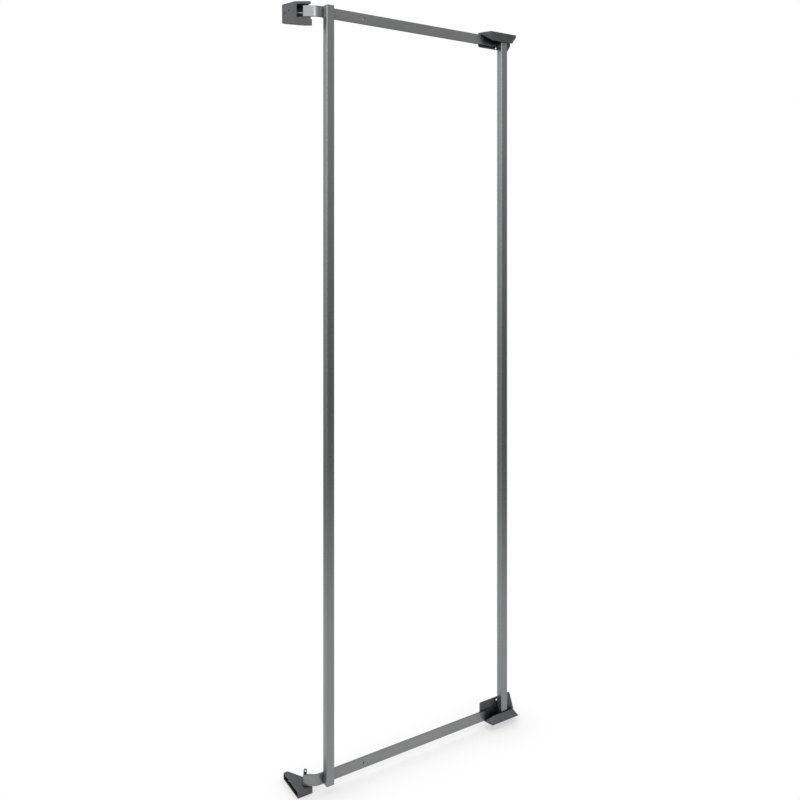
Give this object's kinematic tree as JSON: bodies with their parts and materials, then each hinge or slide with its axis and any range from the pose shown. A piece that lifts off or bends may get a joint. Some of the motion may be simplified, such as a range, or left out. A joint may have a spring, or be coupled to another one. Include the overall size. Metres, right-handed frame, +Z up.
{
  "type": "cabinet swing frame",
  "caption": "Tall narrow swing frame of square tube and flat bar that turns on two pivot bearings at a cabinet's side, with sliding guides at its free end.",
  "frame": {"origin": "on the cabinet floor, midway between the two floor screws of the bottom bearing", "axes": "+Z up along the uprights, +X along the bars from the pivot to the free end, +Y into the cabinet"},
  "size_m": [0.635, 0.124, 1.8366],
  "materials": {
    "coated_steel": "satin metallic grey powder coat",
    "plain_steel": "zinc plated, slightly dull",
    "black_steel": "blackened, semi-matt",
    "slate_plastic": "fine-textured moulding",
    "black_plastic": "fine-textured moulding",
    "bearing_plastic": "smooth dark grey acetal"
  },
  "bodies": {
    "bearings": {"bottom_bearing_plate": "black_steel", "bottom_bearing_bush": "bearing_plastic", "bottom_bearing_cover": "slate_plastic", "top_bearing_bracket": "plain_steel", "top_bearing_cover": "slate_plastic", "top_bearing_side_plate": "slate_plastic", "top_pivot_pin": "plain_steel", "top_pin_clip": "plain_steel", "top_spacer_collar": "plain_steel", "opening_stop_rod": "plain_steel"},
    "swing_frame": {"left_upright": "coated_steel", "right_upright": "coated_steel", "top_bar": "coated_steel", "bottom_bar": "coated_steel", "upright_end_caps": "black_plastic", "rivet_nuts": "plain_steel", "frame_screws": "plain_steel", "top_pivot_sleeve": "coated_steel", "bottom_pivot_sleeve": "coated_steel", "top_sleeve_bushes": "bearing_plastic", "bottom_sleeve_cap": "plain_steel", "release_spring": "plain_steel"},
    "release_pin": {"release_pin": "plain_steel", "release_loop": "black_steel"},
    "bottom_guide": {"bottom_guide_bracket": "slate_plastic", "bottom_guide_liner": "bearing_plastic"},
    "top_guide": {"top_guide_bracket": "slate_plastic", "top_guide_liner": "bearing_plastic"}
  },
  "joints": [
    {"name": "frame_swing", "type": "hinge", "parent": "bearings", "child": "swing_frame", "pos_m": [0.0178, -0.0227, 0], "axis": [0, 0, 1], "range_deg": [-95, 0]},
    {"name": "pin_release", "type": "slide", "parent": "swing_frame", "child": "release_pin", "axis": [0, 0, 1], "range_m": [0, 0.006], "stiffness_N_per_m": 400, "springref_m": -0.005, "deforming": ["release_spring"]},
    {"name": "bottom_guide_slide", "type": "slide", "parent": "swing_frame", "child": "bottom_guide", "axis": [1, 0, 0], "range_m": [-0.012, 0.012]},
    {"name": "top_guide_slide", "type": "slide", "parent": "swing_frame", "child": "top_guide", "axis": [1, 0, 0], "range_m": [-0.012, 0.012]}
  ],
  "couplings": [
    {"joint": "top_guide_slide", "follows": "bottom_guide_slide", "ratio": 1}
  ]
}
